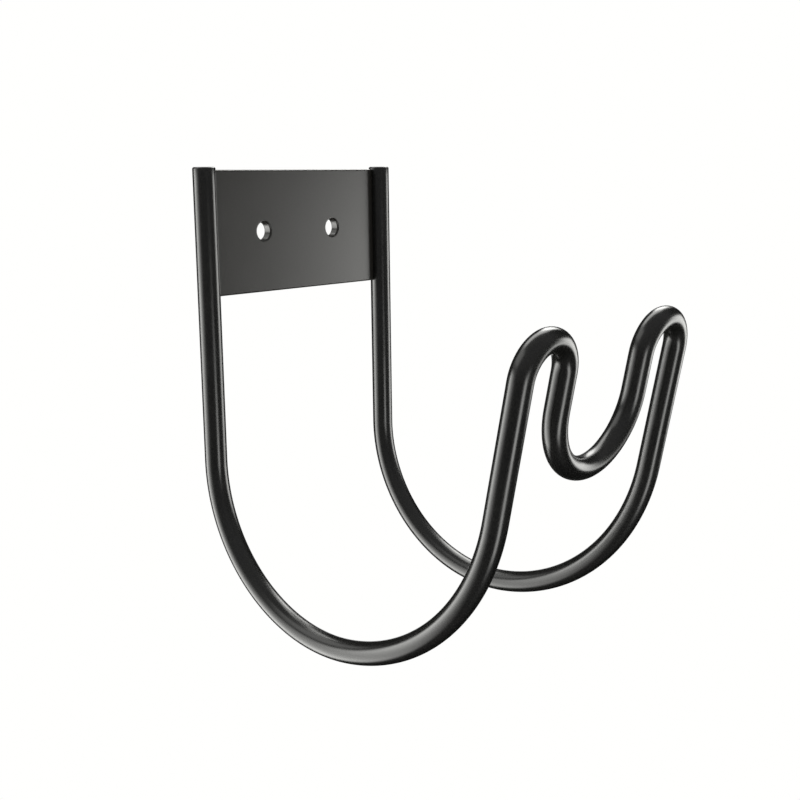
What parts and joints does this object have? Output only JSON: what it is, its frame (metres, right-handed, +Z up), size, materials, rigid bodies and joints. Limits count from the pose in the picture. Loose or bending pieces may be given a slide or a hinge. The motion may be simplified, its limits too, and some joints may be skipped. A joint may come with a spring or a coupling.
{
  "type": "hose hanger",
  "caption": "Wall-mounted hose hanger of bent steel rod: hooks that carry the coiled hose, a dip between their tips for the nozzle, and a flat plate with screw holes.",
  "frame": {"origin": "midway between the two screw holes, on the plate's back face, which is the wall plane", "axes": "+Z up along the uprights, -Y out of the wall towards the arms, +X across the plate"},
  "size_m": [0.105, 0.1518, 0.175],
  "materials": {
    "rod_paint": "black powder coat, satin gloss",
    "plate_paint": "black powder coat, satin",
    "weld_paint": "black powder coat over a rippled weld"
  },
  "bodies": {
    "root": {"bent_rod": "rod_paint", "mounting_plate": "plate_paint", "left_weld_seam": "weld_paint", "right_weld_seam": "weld_paint"}
  },
  "joints": []
}
